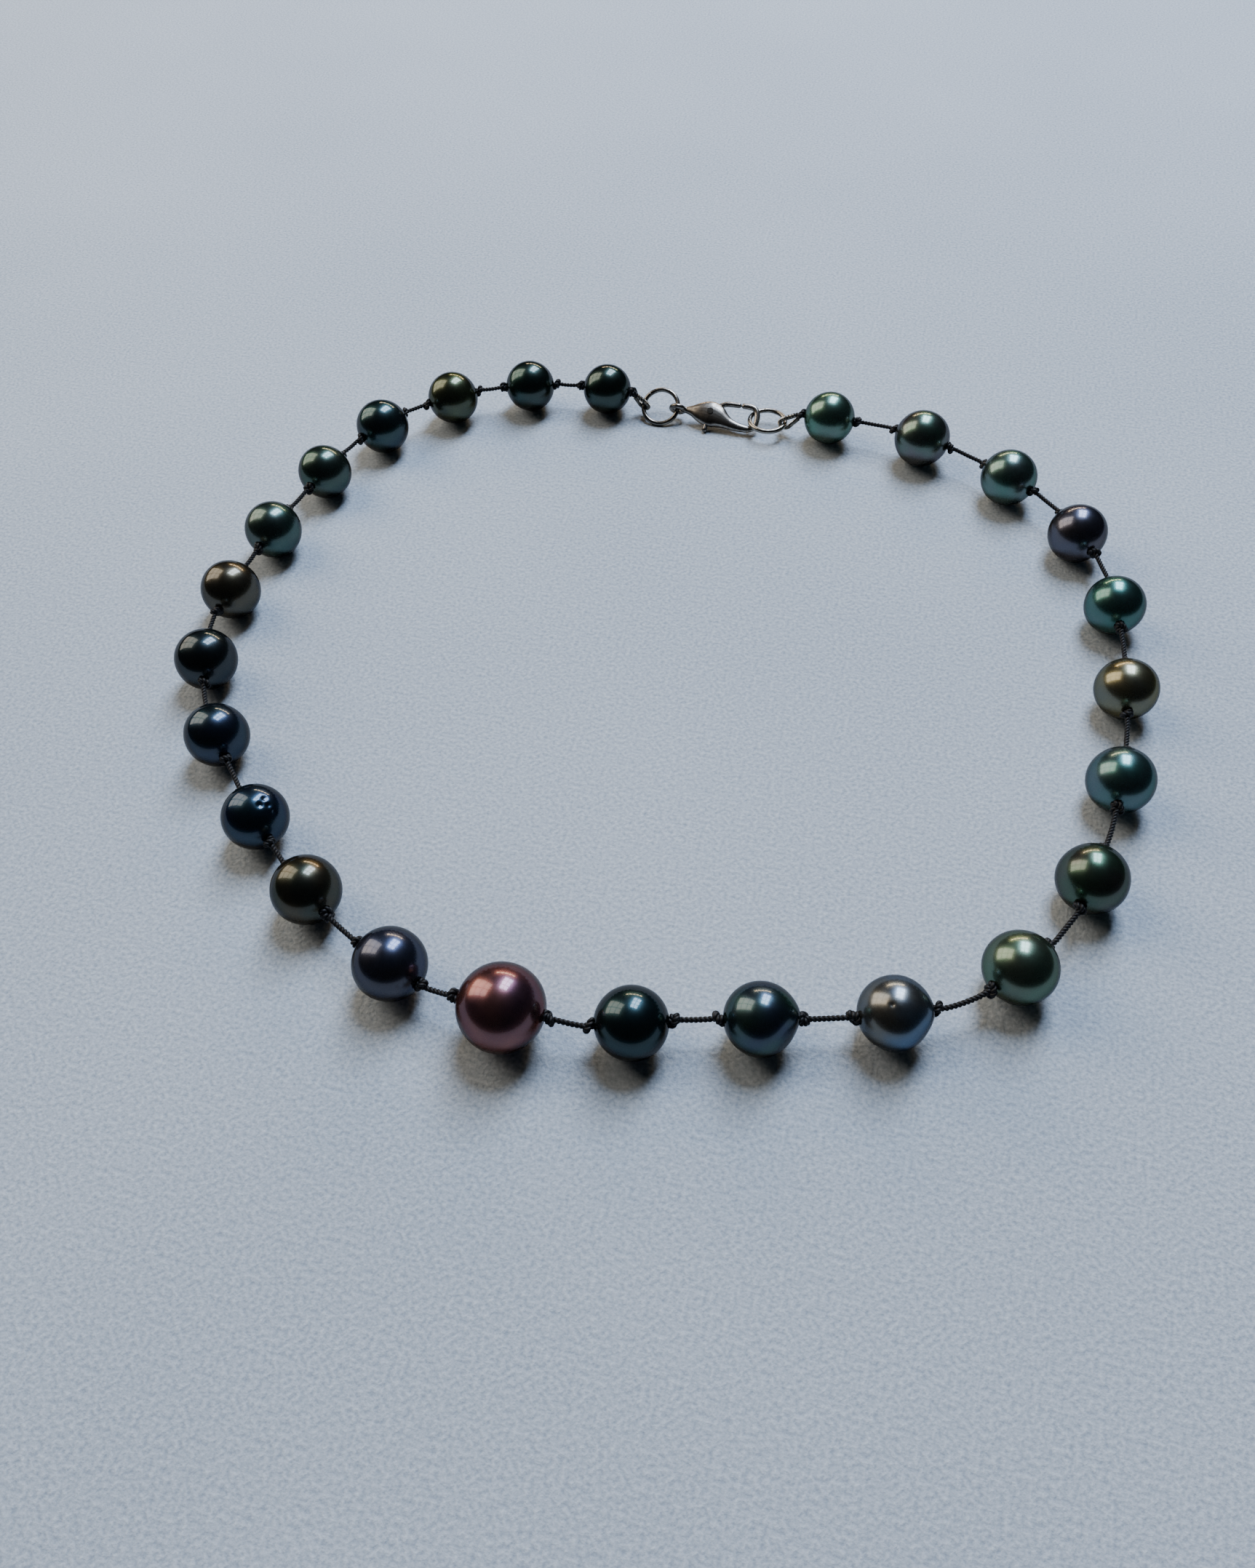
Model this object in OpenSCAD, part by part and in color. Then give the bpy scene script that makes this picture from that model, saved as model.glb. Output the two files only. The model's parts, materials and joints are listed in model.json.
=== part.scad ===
// Knotted station necklace: round dark pearls on twisted silk, French-wire ends, jump rings, lobster clasp.
// Millimetres. X runs along the clasp, Z is up, and the strand lies closed on the plane Z = 0.

/* [Strand] */
// Factor on every pearl diameter
pearl_scale = 1; // [0.9:0.01:1.05]
// Drilled hole through each pearl
bore_d = 0.9; // [0.8:0.05:1.1]
// Twisted silk cord
silk_d = 0.65; // [0.4:0.05:0.7]
// Knot on each side of a pearl
knot_d = 1.5; // [1.2:0.1:1.8]
// Play between a pearl and each of its knots
knot_play = 0.05; // [0.02:0.01:0.2]

/* [Ends] */
// Height of the line through both rings and the clasp
link_z = 2.1; // [2:0.1:2.5]
// Outer diameter of the French-wire sleeve
sleeve_d = 0.9; // [0.8:0.05:1]
// Bore of the French-wire sleeve
sleeve_bore_d = 0.6; // [0.55:0.01:0.65]
// Silk where it is drawn through the sleeve
sleeve_silk_d = 0.5; // [0.4:0.05:0.5]
// Mean radius of the sleeve's bend round the ring
sleeve_bend_r = 1.15; // [1.1:0.05:1.3]
// Left pearl's surface to the ring wire
left_reach = 2.5; // [2.4:0.1:2.8]
// Right pearl's surface to the ring wire
right_reach = 3.2; // [2.9:0.1:3.3]

/* [Jump rings] */
// Wire of both rings
ring_wire_d = 0.8; // [0.6:0.05:0.85]
// Mean diameter of both rings
ring_d = 6.2; // [5.8:0.1:6.4]
// Tilt of the left ring, far side up
left_ring_tilt = 33; // [20:1:34]
// Tilt of the right ring, far side up
right_ring_tilt = 0; // [-10:1:2]

/* [Clasp] */
// Roll about the clasp's length, far side up
clasp_roll = 30; // [28:1:36]
// Thickness in the middle of the body
body_t = 2.1; // [1.9:0.1:2.4]
// Width of the body
body_w = 5; // [4.6:0.1:5.2]
// Thickness of the claw at its nose
claw_d = 1; // [0.8:0.05:1]
// Distance of the claw's arms from the middle line
claw_reach = 2.1; // [2.1:0.05:2.3]
// Thickness of the lever
lever_t = 0.9; // [0.8:0.05:0.9]
// Pivot pin
pin_d = 0.8; // [0.6:0.05:0.8]
// Wire of the return spring
spring_wire_d = 0.22; // [0.16:0.02:0.22]

/* [Hidden] */
$fn = 64;

// Pearls in strand order, from the clasp's left end round the front to its right end.
pearl_sizes = [
    8.5, 8.6, 8.8, 9.0, 8.7, 8.9, 8.9, 8.9, 8.8, 8.7, 8.8, 9.0, 10.5,
    8.7, 8.7, 8.7, 8.8, 8.8, 8.8, 8.6, 8.7, 8.9, 8.9, 9.2, 8.7
];
// Bare space between neighbours, and how far the strand turns there in degrees: a half turn in each arm.
gaps = [
    5.5, 5.5, 5.5, 6, 7, 5.5, 6, 6.5, 7.5, 5.5, 7, 5.5,
    5.5, 6, 6.5, 8, 8, 8, 8, 8, 7.5, 7.5, 7.5, 7.5
];
turns = [
    18, 20, 24, 18, 6, 6, 22, 18, 6, 8, 14, 20,
    18, -4, 6, 30, 24, 10, 8, 8, 22, 24, 16, 18
];

first = 0;
centre = 12;
last = len(pearl_sizes) - 1;
function r(i) = pearl_sizes[i] * pearl_scale / 2;
function heading(i) =
    i == centre ? 0 : i > centre ? heading(i - 1) + turns[i - 1] : heading(i + 1) - turns[i];
function along(i) = [cos(heading(i)), sin(heading(i))];
function laid(i) =
    i == centre ? [0, 0]
    : i > centre
        ? laid(i - 1) + (r(i - 1) + gaps[i - 1] / 2) * along(i - 1) + (gaps[i - 1] / 2 + r(i)) * along(i)
        : laid(i + 1) - (r(i + 1) + gaps[i] / 2) * along(i + 1) - (gaps[i] / 2 + r(i)) * along(i);
lie = [for (i = [first:last]) laid(i)];
function reach(axis, side) = [for (i = [first:last]) lie[i][axis] + side * r(i)];
middle = [for (axis = [0, 1]) (min(reach(axis, -1)) + max(reach(axis, 1))) / 2];

// A pearl rests on the plane, and the silk runs level through its middle.
function pearl_at(i) = [lie[i][0] - middle[0], lie[i][1] - middle[1], r(i)];
function bore(i) = [along(i)[0], along(i)[1], 0];
knot_out = knot_d / 2 + knot_play;
function knot_at(i, side) = pearl_at(i) + side * (r(i) + knot_out) * bore(i);
function flex_at(i) =
    let (flat = pearl_at(i) + (r(i) + gaps[i] / 2) * bore(i)) [flat[0], flat[1], (r(i) + r(i + 1)) / 2];
flex_play = 0.4;
tip_h = 0.16;

// Where each ring's wire is held, along the line of the clasp.
left_hold = pearl_at(first) + [r(first) + left_reach, 0, link_z - r(first)];
right_hold = pearl_at(last) + [-r(last) - right_reach, 0, link_z - r(last)];
tail = left_hold + [ring_d, 0, 0];
hook_u = right_hold[0] - ring_d - tail[0];

// The sleeve leaves the knot in two legs, tangent to its bend.
leg_gap = 0.5;
leg_start = 1;
silk_tail = 0.5;
sleeve_clear = 0.05;
function fall(i, hold) = knot_at(i, i == first ? -1 : 1) - hold;
function sleeve_foot(i, hold) = [-norm(fall(i, hold)) + leg_start, leg_gap];
function sleeve_slope(i, hold) = atan2(fall(i, hold)[2], abs(fall(i, hold)[0]));
function bend_end(foot) = atan2(foot[1], foot[0]) - acos(sleeve_bend_r / norm(foot));

// Clasp, measured from the tail eye: u towards the nose, w across, the pin's axis the third.
eye_r = 1.15;
eye_wire_d = 0.9;
neck_from = 1.35;
neck_to = 3.1;
neck_d = 1.2;
body_u = 5.6;
body_half = 3.9;
body_dome_r = 14;
front_u = 9.9;
front_r = 1.6;
nose_u = hook_u + 1.2;
corner_r = 1;
claw_root_u = 6.4;
claw_tip_u = 11.6;
pivot = [6, 0];
hub_r = 1.15;
hub_top = 0.05;
slot_t = 1.1;
slot_r = 1.25;
slot = [[6, -1.2], [7.4, -1], [11, -1], [11, 4], [5.6, 4], [4.8, 0.6]];
tab_slot = [[6.9, -0.6], [6.5, -4], [2.8, -4], [4.85, -0.4]];
arm_from = [6.63, 0.57];
gate_corner = [8.1, claw_reach];
gate_tip = [10.5, claw_reach];
tab_from = [5.84, -0.9];
tab_tip = [5.5, -3.1];
tab_d = 0.8;
tab_pad_d = 0.9;
pin_play = 0.03;
pin_head_d = 1.1;
pin_head_t = 0.12;
coil_r = 0.65;
coil_n = 0.3;
coil_turn = 222;
spring_tail = 1.1;
spring_push = 1.6;

function aim(v) = [0, acos(v[2] / norm(v)), atan2(v[1], v[0])];
function up(p, n) = [p[0], p[1], n];

module rod(from, to, d1, d2) {
    translate(from) rotate(aim(to - from)) cylinder(h = norm(to - from), d1 = d1, d2 = d2);
}

// A rod along Z with a round far end.
module bullet(length, d) {
    rotate_extrude() intersection() {
        union() {
            translate([-d / 2, 0]) square([d, length]);
            translate([0, length]) circle(d = d);
        }
        square([d, length + d]);
    }
}

module pearl(i) {
    difference() {
        translate(pearl_at(i)) rotate([0, 0, heading(i) + 90]) sphere(r = r(i));
        rod(pearl_at(i) - 2 * r(i) * bore(i), pearl_at(i) + 2 * r(i) * bore(i), bore_d, bore_d);
    }
}

// Half of the silk in one gap, drawn to a blunt point beside the place where the strand flexes.
module half_gap(knot, flex) {
    length = norm(knot - flex) - flex_play + silk_d / 2;
    translate(knot) rotate(aim(flex - knot)) rotate_extrude() polygon([
        [0, knot_d / 4], [silk_d / 2, knot_d / 4], [silk_d / 2, length - tip_h],
        [silk_d / 2 - tip_h, length], [0, length]
    ]);
}

// Silk through the pearl's bore, with a knot beyond each end.
module knotted(i) {
    stop = knot_d / 4;
    rod(knot_at(i, -1) + stop * bore(i), knot_at(i, 1) - stop * bore(i), silk_d, silk_d);
    for (side = [-1, 1])
        translate(knot_at(i, side)) rotate([0, 0, heading(i) + 90]) sphere(d = knot_d);
}

module silk(i) {
    color("#16161a") {
        knotted(i);
        if (i > first) half_gap(knot_at(i, -1), flex_at(i - 1));
        if (i < last) half_gap(knot_at(i, 1), flex_at(i));
        if (i == first) end_loop(i, left_hold, 1, sleeve_silk_d, silk_tail);
        if (i == last) end_loop(i, right_hold, -1, sleeve_silk_d, silk_tail);
    }
}

module sleeve_place(i, hold, side) {
    translate(hold)
        rotate([0, 0, side > 0 ? 0 : 180])
            rotate([0, sleeve_slope(i, hold), 0])
                rotate([90, 0, 0]) children();
}

// A bend round the ring wire with two straight legs to the knot, made longer by extra.
module end_loop(i, hold, side, d, extra) {
    foot = sleeve_foot(i, hold);
    end = bend_end(foot);
    leg = norm([foot[0] - sleeve_bend_r * cos(end), foot[1] - sleeve_bend_r * sin(end)]) + extra;
    sleeve_place(i, hold, side) {
        rotate([0, 0, -end]) rotate_extrude(angle = 2 * end) translate([sleeve_bend_r, 0]) circle(d = d);
        for (turn = [0, 180]) rotate([turn, 0, 0]) rotate([0, 0, end])
            translate([sleeve_bend_r, 0, 0]) rotate([-90, 0, 0]) cylinder(h = leg, d = d);
    }
}

module french_wire(i, hold, side) {
    color("#c9c4b8") difference() {
        end_loop(i, hold, side, sleeve_d, 0);
        end_loop(i, hold, side, sleeve_bore_d, sleeve_clear);
    }
}

module wire_ring(mean_r, d) {
    rotate_extrude() translate([mean_r, 0]) circle(d = d);
}

module jump_ring_left() {
    color("#b9b7b2") translate(left_hold + [ring_d / 2, 0, 0])
        rotate([left_ring_tilt, 0, 0]) wire_ring(ring_d / 2, ring_wire_d);
}

module jump_ring_right() {
    color("#b9b7b2") translate(right_hold - [ring_d / 2, 0, 0])
        rotate([right_ring_tilt, 0, 0]) wire_ring(ring_d / 2, ring_wire_d);
}

module clasp_place() {
    translate(tail) rotate([clasp_roll, 0, 0]) children();
}

// A pointed oval with domed faces.
module clasp_shell() {
    side_r = (body_half * body_half + body_w * body_w / 4) / body_w;
    intersection() {
        linear_extrude(height = 2 * body_t, center = true) intersection() {
            translate([body_u, side_r - body_w / 2]) circle(r = side_r, $fn = 160);
            translate([body_u, body_w / 2 - side_r]) circle(r = side_r, $fn = 160);
        }
        translate([body_u, 0, body_dome_r - body_t / 2]) sphere(r = body_dome_r, $fn = 240);
        translate([body_u, 0, body_t / 2 - body_dome_r]) sphere(r = body_dome_r, $fn = 240);
    }
}

module claw() {
    bend_u = nose_u - corner_r;
    bend_w = claw_reach - corner_r;
    for (side = [-1, 1])
        translate([bend_u, side * bend_w, 0]) rotate([0, 0, side < 0 ? -90 : 0])
            rotate_extrude(angle = 90) translate([corner_r, 0]) circle(d = claw_d);
    rod([nose_u, -bend_w, 0], [nose_u, bend_w, 0], claw_d, claw_d);
    translate([bend_u, -claw_reach, 0]) rotate(aim([-1, 0, 0])) bullet(bend_u - claw_root_u, claw_d);
    translate([bend_u, claw_reach, 0]) rotate(aim([-1, 0, 0])) bullet(bend_u - claw_tip_u, claw_d);
}

module clasp_body() {
    color("#8d8b86") clasp_place() {
        rotate([90, 0, 0]) wire_ring(eye_r, eye_wire_d);
        difference() {
            union() {
                translate([neck_from, 0, 0]) rotate([0, 90, 0]) cylinder(h = neck_to - neck_from, d = neck_d);
                clasp_shell();
                claw();
            }
            translate([front_u, 0, 0]) cylinder(h = 2 * body_t, r = front_r, center = true);
            linear_extrude(height = slot_t, center = true) {
                translate(pivot) circle(r = slot_r);
                polygon(slot);
                polygon(tab_slot);
            }
            translate(up(pivot, 0)) cylinder(h = 2 * body_t, d = pin_d + 2 * pin_play, center = true);
        }
    }
}

module clasp_lever() {
    color("#98968f") clasp_place() difference() {
        union() {
            translate(up(pivot, -lever_t / 2)) cylinder(h = lever_t / 2 + hub_top, r = hub_r);
            rod(up(arm_from, 0), up(gate_corner, 0), lever_t, lever_t);
            translate(up(gate_corner, 0)) sphere(d = lever_t);
            translate(up(gate_corner, 0)) rotate(aim([1, 0, 0])) bullet(gate_tip[0] - gate_corner[0], lever_t);
            rod(up(tab_from, 0), up(tab_tip, 0), tab_d, tab_d);
            translate(up(tab_tip, 0)) sphere(d = tab_pad_d);
        }
        translate(up(pivot, 0)) cylinder(h = 2 * body_t, d = pin_d + 2 * pin_play, center = true);
    }
}

module clasp_pin() {
    color("#aaa8a2") clasp_place() translate(up(pivot, 0)) {
        cylinder(h = body_t, d = pin_d, center = true);
        for (side = [-1, 1])
            translate([0, 0, side * (body_t + pin_head_t) / 2])
                cylinder(h = pin_head_t, d = pin_head_d, center = true);
    }
}

// One open turn round the pin: one leg against the body's slot, the other behind the gate.
module clasp_spring() {
    push = 90 + coil_turn;
    color("#77757a") clasp_place() translate(up(pivot, coil_n)) {
        rotate([0, 0, 90]) rotate_extrude(angle = coil_turn)
            translate([coil_r, 0]) circle(d = spring_wire_d);
        rod([0, coil_r, 0], [-spring_tail, coil_r, 0], spring_wire_d, spring_wire_d);
        rotate([0, 0, push]) rod([coil_r, 0, 0], [coil_r, spring_push, 0], spring_wire_d, spring_wire_d);
    }
}

module pearl_01() { color("#2f3a34") pearl(0); }
module pearl_02() { color("#2d3a36") pearl(1); }
module pearl_03() { color("#3d4636") pearl(2); }
module pearl_04() { color("#33423f") pearl(3); }
module pearl_05() { color("#34403a") pearl(4); }
module pearl_06() { color("#3a4644") pearl(5); }
module pearl_07() { color("#4a4a40") pearl(6); }
module pearl_08() { color("#2b333c") pearl(7); }
module pearl_09() { color("#273440") pearl(8); }
module pearl_10() { color("#1f2838") pearl(9); }
module pearl_11() { color("#33402f") pearl(10); }
module pearl_12() { color("#454450") pearl(11); }
module pearl_13() { color("#56344a") pearl(12); }
module pearl_14() { color("#22343a") pearl(13); }
module pearl_15() { color("#2f4a44") pearl(14); }
module pearl_16() { color("#5a646c") pearl(15); }
module pearl_17() { color("#5c6450") pearl(16); }
module pearl_18() { color("#55504a") pearl(17); }
module pearl_19() { color("#3a5f60") pearl(18); }
module pearl_20() { color("#6a7058") pearl(19); }
module pearl_21() { color("#3f6664") pearl(20); }
module pearl_22() { color("#5e5254") pearl(21); }
module pearl_23() { color("#4f7e76") pearl(22); }
module pearl_24() { color("#6a5458") pearl(23); }
module pearl_25() { color("#5a8c74") pearl(24); }

module silk_01() { silk(0); }
module silk_02() { silk(1); }
module silk_03() { silk(2); }
module silk_04() { silk(3); }
module silk_05() { silk(4); }
module silk_06() { silk(5); }
module silk_07() { silk(6); }
module silk_08() { silk(7); }
module silk_09() { silk(8); }
module silk_10() { silk(9); }
module silk_11() { silk(10); }
module silk_12() { silk(11); }
module silk_13() { silk(12); }
module silk_14() { silk(13); }
module silk_15() { silk(14); }
module silk_16() { silk(15); }
module silk_17() { silk(16); }
module silk_18() { silk(17); }
module silk_19() { silk(18); }
module silk_20() { silk(19); }
module silk_21() { silk(20); }
module silk_22() { silk(21); }
module silk_23() { silk(22); }
module silk_24() { silk(23); }
module silk_25() { silk(24); }

module french_wire_left() { french_wire(first, left_hold, 1); }
module french_wire_right() { french_wire(last, right_hold, -1); }

pearl_01();
pearl_02();
pearl_03();
pearl_04();
pearl_05();
pearl_06();
pearl_07();
pearl_08();
pearl_09();
pearl_10();
pearl_11();
pearl_12();
pearl_13();
pearl_14();
pearl_15();
pearl_16();
pearl_17();
pearl_18();
pearl_19();
pearl_20();
pearl_21();
pearl_22();
pearl_23();
pearl_24();
pearl_25();
silk_01();
silk_02();
silk_03();
silk_04();
silk_05();
silk_06();
silk_07();
silk_08();
silk_09();
silk_10();
silk_11();
silk_12();
silk_13();
silk_14();
silk_15();
silk_16();
silk_17();
silk_18();
silk_19();
silk_20();
silk_21();
silk_22();
silk_23();
silk_24();
silk_25();
french_wire_left();
french_wire_right();
jump_ring_left();
jump_ring_right();
clasp_body();
clasp_lever();
clasp_pin();
clasp_spring();
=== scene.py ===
import json
import math
import random

import bpy
import numpy as np
from mathutils import Matrix, Vector


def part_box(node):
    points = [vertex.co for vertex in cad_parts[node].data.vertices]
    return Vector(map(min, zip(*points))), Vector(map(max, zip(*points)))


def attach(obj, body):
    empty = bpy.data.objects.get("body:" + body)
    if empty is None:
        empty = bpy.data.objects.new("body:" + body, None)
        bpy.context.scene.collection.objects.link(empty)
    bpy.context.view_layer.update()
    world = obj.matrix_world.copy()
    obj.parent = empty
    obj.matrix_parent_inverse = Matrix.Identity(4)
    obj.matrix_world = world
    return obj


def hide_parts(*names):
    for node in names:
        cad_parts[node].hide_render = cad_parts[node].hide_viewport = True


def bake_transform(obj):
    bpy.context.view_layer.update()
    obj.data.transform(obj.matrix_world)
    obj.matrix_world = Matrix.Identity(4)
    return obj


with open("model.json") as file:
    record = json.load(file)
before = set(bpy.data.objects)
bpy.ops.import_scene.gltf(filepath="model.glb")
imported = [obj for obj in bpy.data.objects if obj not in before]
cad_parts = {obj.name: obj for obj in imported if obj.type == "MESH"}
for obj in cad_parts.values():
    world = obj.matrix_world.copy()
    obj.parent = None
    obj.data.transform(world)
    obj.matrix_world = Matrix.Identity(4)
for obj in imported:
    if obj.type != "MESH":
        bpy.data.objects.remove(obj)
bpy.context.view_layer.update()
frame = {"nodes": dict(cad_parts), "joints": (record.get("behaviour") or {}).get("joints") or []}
mm = 0.001
joints = {j["name"]: j for j in frame["joints"]}
print("frame loaded:", len(frame["nodes"]), "nodes")


def hexColour(code):
    # sRGB hex to the linear colour a shader works in
    parts = [int(code[i:i + 2], 16) / 255 for i in (0, 2, 4)]
    return tuple(c / 12.92 if c <= 0.04045 else ((c + 0.055) / 1.055) ** 2.4 for c in parts) + (1,)


def addNode(tree, kind, settings=None, links=None):
    node = tree.nodes.new(kind)
    for name, value in (settings or {}).items():
        if isinstance(name, int) or name in node.inputs:
            node.inputs[name].default_value = value
        else:
            setattr(node, name, value)
    for socket, source in (links or {}).items():
        tree.links.new(source, node.inputs[socket])
    return node


def newMaterial(name):
    material = bpy.data.materials.new(name)
    material.use_nodes = True
    tree = material.node_tree
    return material, tree, tree.nodes["Principled BSDF"]


def setRamp(ramp, stops):
    points = ramp.color_ramp.elements
    while len(points) < len(stops):
        points.new(0.5)
    for point, (at, colour) in zip(points, stops):
        point.position, point.color = at, colour


def makeObject(name, verts, faces, material, uvs=None):
    mesh = bpy.data.meshes.new(name)
    mesh.from_pydata([tuple(v) for v in verts], [], [tuple(f) for f in faces])
    if uvs is not None:
        layer = mesh.uv_layers.new(name="along")
        loops = np.zeros(len(mesh.loops), np.int32)
        mesh.loops.foreach_get("vertex_index", loops)
        layer.data.foreach_set("uv", np.asarray(uvs, np.float32)[loops].ravel())
    mesh.polygons.foreach_set("use_smooth", [True] * len(mesh.polygons))
    mesh.materials.append(material)
    mesh.update()
    obj = bpy.data.objects.new(name, mesh)
    bpy.context.scene.collection.objects.link(obj)
    return obj


def lengths(path):
    return np.concatenate([[0], np.cumsum(np.linalg.norm(np.diff(path, axis=0), axis=1))])


def resample(path, step):
    # even steps along a smooth curve through the points
    path = np.asarray(path, float)
    at = lengths(path)
    wanted = np.linspace(0, at[-1], max(2, int(round(at[-1] / step)) + 1))
    return np.stack([np.interp(wanted, at, path[:, k]) for k in range(3)], 1)


def soften(path, rounds):
    # rounds off corners, ends held
    path = path.copy()
    for _ in range(rounds):
        path[1:-1] += 0.5 * ((path[:-2] + path[2:]) / 2 - path[1:-1])
    return path


def sideways(path):
    # tangents and a pair of side directions that never twist along the path
    tangent = np.gradient(path, axis=0)
    tangent /= np.linalg.norm(tangent, axis=1, keepdims=True)
    side = np.cross(tangent[0], [0.0, 0.0, 1.0])
    if np.linalg.norm(side) < 0.1:
        side = np.cross(tangent[0], [0.0, 1.0, 0.0])
    sides = []
    for t in tangent:
        side = side - (side @ t) * t
        side = side / np.linalg.norm(side)
        sides.append(side)
    sides = np.array(sides)
    return tangent, sides, np.cross(tangent, sides)


def tube(path, radius, sides, closed=False):
    # a swept tube; radius may change along it
    count = len(path)
    _, a, b = sideways(path)
    radius = np.broadcast_to(np.asarray(radius, float), (count,))
    angle = np.linspace(0, 2 * math.pi, sides, endpoint=False)
    ring = np.cos(angle)[None, :, None] * a[:, None] + np.sin(angle)[None, :, None] * b[:, None]
    verts = (path[:, None] + ring * radius[:, None, None]).reshape(-1, 3)
    uv = np.stack(np.broadcast_arrays(lengths(path)[:, None], angle[None] / (2 * math.pi)), -1)
    return verts, skin(count, sides, closed), uv.reshape(-1, 2)


def skin(count, sides, closed=False):
    # faces between rows of points, each row a ring, with flat ends unless the rows close on themselves
    i, j = np.meshgrid(np.arange(count if closed else count - 1), np.arange(sides), indexing="ij")
    k, n = (j + 1) % sides, (i + 1) % count
    faces = np.stack([i * sides + j, i * sides + k, n * sides + k, n * sides + j], -1)
    faces = [list(f) for f in faces.reshape(-1, 4)]
    if not closed:
        faces.append(list(range(sides))[::-1])
        faces.append(list(range((count - 1) * sides, count * sides)))
    return faces


def joined(parts):
    verts, faces, uvs, start = [], [], [], 0
    for v, f, uv in parts:
        verts.append(v)
        uvs.append(uv)
        faces += [[n + start for n in face] for face in f]
        start += len(v)
    return np.concatenate(verts), faces, np.concatenate(uvs)


camera = {
    "place": (30.1, -113.1, 124.5),  # mm, in the necklace's own frame
    "turn": 17.0,  # degrees to the left of the necklace's middle line
    "down": 52.4,
    "roll": -2.56,
    "lens": 26.5,  # mm, for a long side of 36
    "longSide": 36,
}

lens = bpy.data.cameras.new("camera")
lens.lens, lens.sensor_width = camera["lens"], camera["longSide"]
lens.clip_start, lens.clip_end = 0.005, 20
cameraObject = bpy.data.objects.new("camera", lens)
cameraObject.matrix_world = (
    Matrix.Translation(Vector(camera["place"]) * mm)
    @ Matrix.Rotation(math.radians(camera["turn"]), 4, "Z")
    @ Matrix.Rotation(math.radians(90 - camera["down"]), 4, "X")
    @ Matrix.Rotation(math.radians(camera["roll"]), 4, "Z")
)
bpy.context.scene.collection.objects.link(cameraObject)
bpy.context.scene.camera = cameraObject

floorLook = {
    "size": 3.0,  # metres
    "colour": "bac3cb",
    "shade": "8d99a6",
    "nap": 0.5 * mm,
    "napWeight": 1.2,
    "cloud": 70 * mm,
    "cloudWeight": 0.1,  # slow change from place to place
    "napDepth": 0.25 * mm,
}


def suedeBoard(look):
    # brushed suede paper: flat and pale, with a short nap that only breaks the light a little
    material, tree, shader = newMaterial("suedeBoard")
    place = addNode(tree, "ShaderNodeTexCoord")
    nap = addNode(tree, "ShaderNodeTexNoise", {"Scale": 1 / look["nap"], "Detail": 5},
                  {"Vector": place.outputs["Object"]})
    cloud = addNode(tree, "ShaderNodeTexNoise", {"Scale": 1 / look["cloud"], "Detail": 2},
                    {"Vector": place.outputs["Object"]})
    faint = addNode(tree, "ShaderNodeMapRange",
                    {"To Min": 0.5 - look["cloudWeight"], "To Max": 0.5 + look["cloudWeight"]},
                    {"Value": cloud.outputs["Fac"]})
    both = addNode(tree, "ShaderNodeMath", {"operation": "MULTIPLY_ADD", 1: look["napWeight"]},
                   {0: nap.outputs["Fac"], 2: faint.outputs["Result"]})
    halved = addNode(tree, "ShaderNodeMath", {"operation": "MULTIPLY", 1: 0.5}, {0: both.outputs["Value"]})
    ramp = addNode(tree, "ShaderNodeValToRGB", None, {"Fac": halved.outputs["Value"]})
    setRamp(ramp, [(0.42, hexColour(look["shade"])), (0.68, hexColour(look["colour"]))])
    bump = addNode(tree, "ShaderNodeBump", {"Strength": 0.6, "Distance": look["napDepth"]},
                   {"Height": nap.outputs["Fac"]})
    tree.links.new(ramp.outputs["Color"], shader.inputs["Base Color"])
    tree.links.new(bump.outputs["Normal"], shader.inputs["Normal"])
    shader.inputs["Roughness"].default_value = 0.9
    shader.inputs["Specular IOR Level"].default_value = 0.15
    return material


half = floorLook["size"] / 2
floor = makeObject("floor", [(-half, -half, 0), (half, -half, 0), (half, half, 0), (-half, half, 0)],
                   [(0, 1, 2, 3)], suedeBoard(floorLook))

# each light: degrees left of the back, height above the floor, distance, size across and up in metres,
# panes across and up, power of the whole window in watts, colour
lights = {
    "windowLeft": (74, 35, 1.0, (0.62, 0.95), (2, 3), 9, "fff0dc"),
    "windowRight": (-6, 54, 1.0, (0.36, 0.66), (2, 3), 18, "d4e5ff"),
    "windowLow": (8, 22, 1.1, (0.70, 0.12), (5, 1), 4, "ffdcae"),
}
glazingBar = 0.03  # metres between panes
surroundings = {"seen": "c3c9d0", "seenStrength": 0.62, "given": "aab6c4", "givenStrength": 0.03}


def softWindow(name, look):
    turn, height, far, size, panes, power, colour = look
    a, e = math.radians(turn), math.radians(height)
    back = Vector((-math.sin(a) * math.cos(e), math.cos(a) * math.cos(e), math.sin(e)))
    facing = (-back).to_track_quat("-Z", "Y")
    across, tall = (s / n - glazingBar for s, n in zip(size, panes))
    for i in range(panes[0]):
        for j in range(panes[1]):
            data = bpy.data.lights.new(name, "AREA")
            data.shape, data.size, data.size_y = "RECTANGLE", across, tall
            data.energy, data.color = power / (panes[0] * panes[1]), hexColour(colour)[:3]
            pane = bpy.data.objects.new(name + "%d%d" % (i, j), data)
            shift = Vector(((i + 0.5 - panes[0] / 2) * (across + glazingBar),
                            (j + 0.5 - panes[1] / 2) * (tall + glazingBar), 0))
            pane.rotation_mode = "QUATERNION"
            pane.rotation_quaternion = facing
            pane.location = back * far + facing @ shift
            bpy.context.scene.collection.objects.link(pane)


for name, look in lights.items():
    softWindow(name, look)


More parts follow.
